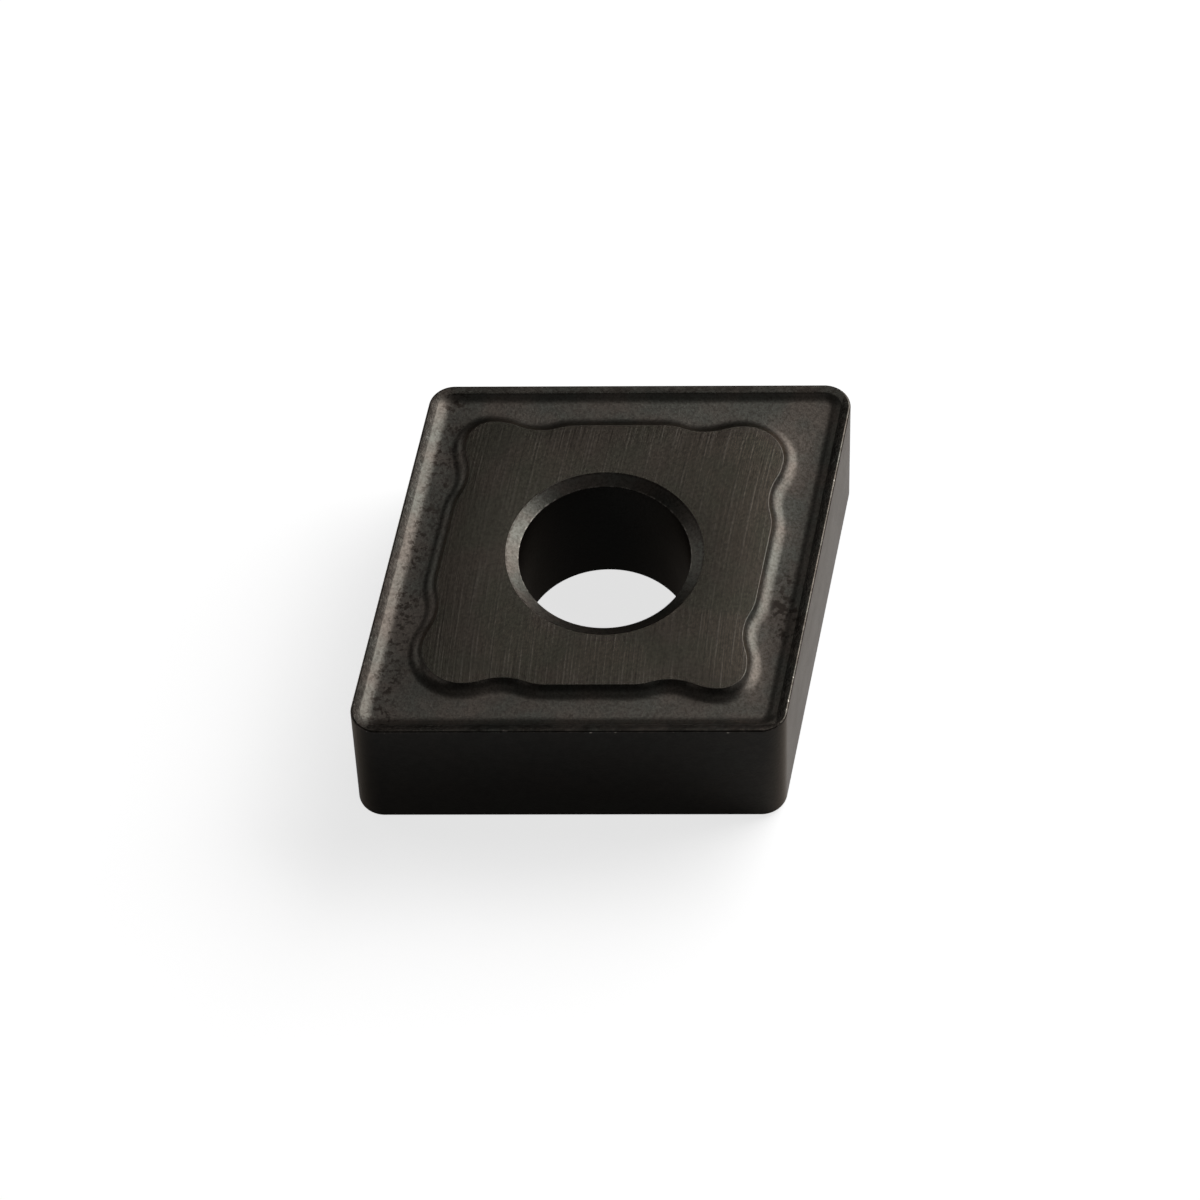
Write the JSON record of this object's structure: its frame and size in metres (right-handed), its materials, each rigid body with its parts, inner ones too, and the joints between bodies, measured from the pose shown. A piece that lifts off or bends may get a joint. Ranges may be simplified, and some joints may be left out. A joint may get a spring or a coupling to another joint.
{
  "type": "carbide insert",
  "caption": "Double-sided rhombic carbide turning insert with a countersunk clamping bore, honed cutting edges and a wavy ground pad inside a pressed chip groove.",
  "frame": {"origin": "centre of the bore on the lower pad, which is the seat face", "axes": "+Z along the bore up through the upper pad, +X along the long diagonal to one of the two 80 degree cutting noses, +Y along the short diagonal to a 100 degree corner"},
  "size_m": [0.0188, 0.016, 0.0048],
  "materials": {
    "coated_carbide": "thin dark hard coating, satin as pressed on the flanks and grooves, fine ground on both pads"
  },
  "bodies": {
    "root": {"carbide_insert": "coated_carbide"}
  },
  "joints": []
}
